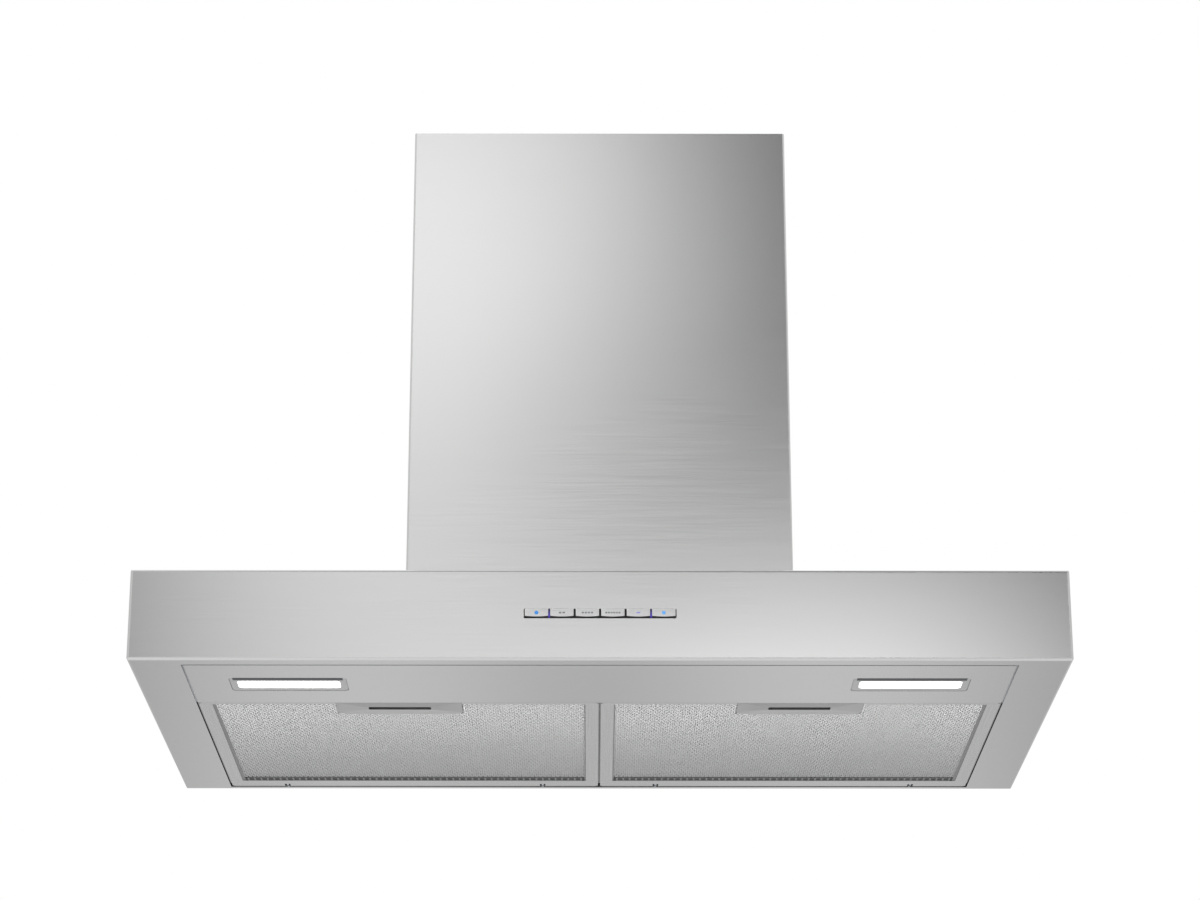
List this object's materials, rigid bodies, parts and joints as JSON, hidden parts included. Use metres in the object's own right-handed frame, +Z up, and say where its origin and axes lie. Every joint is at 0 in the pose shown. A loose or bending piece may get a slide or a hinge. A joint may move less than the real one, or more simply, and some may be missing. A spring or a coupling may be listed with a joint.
{
  "type": "chimney range hood",
  "caption": "Wall-mounted chimney range hood: flat stainless canopy with push-button strip, two lamps and drop-down mesh filters under a telescopic duct cover.",
  "frame": {"origin": "centre of the underside's outline, on the plane of the canopy's underside", "axes": "+X along the width towards the right end seen from the front, -Y out of the front, +Y into the wall, +Z up"},
  "size_m": [0.9, 0.5014, 0.655],
  "materials": {
    "stainless": "stainless steel sheet, brushed along its width",
    "galvanised": "hot-dip galvanised steel sheet with a faint spangle",
    "filter_frame": "rolled aluminium, satin",
    "filter_mesh": "expanded aluminium mesh, satin",
    "latch": "moulded grey nylon",
    "light_plastic": "moulded light grey plastic",
    "lamp_glass": "frosted lamp cover, lit",
    "white_plastic": "moulded white plastic",
    "circuit_board": "green lacquered laminate",
    "button_cap": "metal-effect lacquer on moulded plastic",
    "black_plastic": "moulded black plastic, fine texture",
    "grey_plastic": "moulded grey plastic",
    "zinc_steel": "zinc-plated steel"
  },
  "bodies": {
    "root": {"canopy_shell": "stainless", "filter_hinge_rail": "galvanised", "lamp_panel": "stainless", "lamp_bezel_left": "light_plastic", "lamp_bezel_right": "light_plastic", "lamp_lens_left": "lamp_glass", "lamp_lens_right": "lamp_glass", "lamp_housing_left": "white_plastic", "lamp_housing_right": "white_plastic", "lamp_board_left": "circuit_board", "lamp_board_right": "circuit_board", "keypad_frame": "black_plastic", "keypad_board": "circuit_board", "chimney_lower_cover": "stainless", "cover_bracket_left": "galvanised", "cover_bracket_right": "galvanised", "blower_box": "galvanised", "scroll_left": "black_plastic", "scroll_right": "black_plastic", "motor": "zinc_steel", "motor_bracket": "galvanised", "outlet_collar": "black_plastic", "flap_pin": "zinc_steel", "control_box": "black_plastic", "control_box_lid": "black_plastic", "control_board": "circuit_board", "lamp_driver": "white_plastic", "junction_box": "grey_plastic", "junction_box_lid": "grey_plastic", "cable_gland": "black_plastic", "capacitor": "white_plastic", "wall_hanger_left": "zinc_steel", "wall_hanger_right": "zinc_steel", "hanger_screw_left": "zinc_steel", "hanger_screw_right": "zinc_steel"},
    "flap_front": {"flap_front": "grey_plastic"},
    "flap_rear": {"flap_rear": "grey_plastic"},
    "chimney_upper": {"chimney_upper_cover": "stainless", "ceiling_bracket": "galvanised"},
    "fan": {"impeller": "grey_plastic", "motor_shaft": "zinc_steel"},
    "filter_left": {"filter_frame_left": "filter_frame", "filter_mesh_left": "filter_mesh", "filter_media_left": "filter_mesh", "filter_backing_left": "filter_mesh", "filter_handle_left": "filter_frame"},
    "latch_left": {"filter_latch_left": "latch"},
    "filter_right": {"filter_frame_right": "filter_frame", "filter_mesh_right": "filter_mesh", "filter_media_right": "filter_mesh", "filter_backing_right": "filter_mesh", "filter_handle_right": "filter_frame"},
    "latch_right": {"filter_latch_right": "latch"},
    "button_1": {"button_1": "button_cap"},
    "button_2": {"button_2": "button_cap"},
    "button_3": {"button_3": "button_cap"},
    "button_4": {"button_4": "button_cap"},
    "button_5": {"button_5": "button_cap"},
    "button_6": {"button_6": "button_cap"}
  },
  "joints": [
    {"name": "backdraft_flap_front", "type": "hinge", "parent": "root", "child": "flap_front", "pos_m": [0, 0.0843, 0.352], "axis": [-1, 0, 0], "range_deg": [0, 75]},
    {"name": "backdraft_flap_rear", "type": "hinge", "parent": "root", "child": "flap_rear", "pos_m": [0, 0.0843, 0.352], "axis": [1, 0, 0], "range_deg": [0, 75]},
    {"name": "chimney_extend", "type": "slide", "parent": "root", "child": "chimney_upper", "axis": [0, 0, 1], "range_m": [0, 0.4]},
    {"name": "fan_spin", "type": "hinge", "parent": "root", "child": "fan", "pos_m": [0, 0.122, 0.19492], "axis": [1, 0, 0], "continuous": true},
    {"name": "filter_left_open", "type": "hinge", "parent": "root", "child": "filter_left", "pos_m": [-0.1996, 0.235, 0.0047], "axis": [1, 0, 0], "range_deg": [0, 70]},
    {"name": "filter_right_open", "type": "hinge", "parent": "root", "child": "filter_right", "pos_m": [0.1996, 0.235, 0.0047], "axis": [1, 0, 0], "range_deg": [0, 70]},
    {"name": "latch_left_pull", "type": "slide", "parent": "filter_left", "child": "latch_left", "axis": [0, 1, 0], "range_m": [0, 0.006], "stiffness_N_per_m": 300},
    {"name": "latch_right_pull", "type": "slide", "parent": "filter_right", "child": "latch_right", "axis": [0, 1, 0], "range_m": [0, 0.006], "stiffness_N_per_m": 300},
    {"name": "push_button_1", "type": "slide", "parent": "root", "child": "button_1", "axis": [0, 1, 0], "range_m": [0, 0.001], "stiffness_N_per_m": 400},
    {"name": "push_button_2", "type": "slide", "parent": "root", "child": "button_2", "axis": [0, 1, 0], "range_m": [0, 0.001], "stiffness_N_per_m": 400},
    {"name": "push_button_3", "type": "slide", "parent": "root", "child": "button_3", "axis": [0, 1, 0], "range_m": [0, 0.001], "stiffness_N_per_m": 400},
    {"name": "push_button_4", "type": "slide", "parent": "root", "child": "button_4", "axis": [0, 1, 0], "range_m": [0, 0.001], "stiffness_N_per_m": 400},
    {"name": "push_button_5", "type": "slide", "parent": "root", "child": "button_5", "axis": [0, 1, 0], "range_m": [0, 0.001], "stiffness_N_per_m": 400},
    {"name": "push_button_6", "type": "slide", "parent": "root", "child": "button_6", "axis": [0, 1, 0], "range_m": [0, 0.001], "stiffness_N_per_m": 400}
  ]
}
